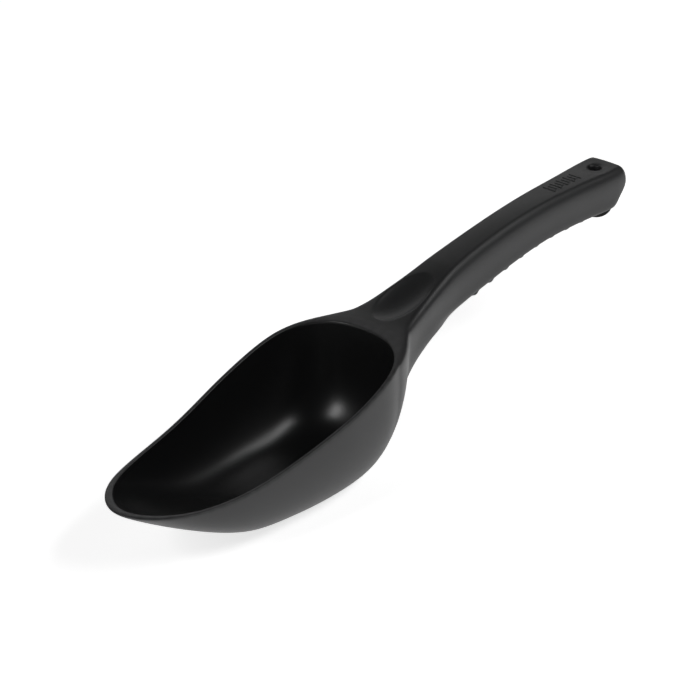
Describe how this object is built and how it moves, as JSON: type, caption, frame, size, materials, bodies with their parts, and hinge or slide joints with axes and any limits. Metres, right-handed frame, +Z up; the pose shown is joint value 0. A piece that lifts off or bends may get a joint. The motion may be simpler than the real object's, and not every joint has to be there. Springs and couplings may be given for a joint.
{
  "type": "ice scoop",
  "caption": "One-hand ice scoop with a deep pear-shaped bowl, thumb recess, arched hollow handle, soft ridged underside and hang hole.",
  "frame": {"origin": "centre of the small standing flat under the bowl", "axes": "+X from the lip to the handle's end, +Y across the scoop, +Z up out of the bowl"},
  "size_m": [0.3072, 0.0658, 0.073],
  "materials": {
    "moulded_plastic": "fine matte texture outside, smoother inside the bowl",
    "carrier_plastic": "plain moulded",
    "soft_grip": "soft matte"
  },
  "bodies": {
    "root": {"scoop_body": "moulded_plastic", "grip_carrier": "carrier_plastic", "soft_grip": "soft_grip"}
  },
  "joints": []
}
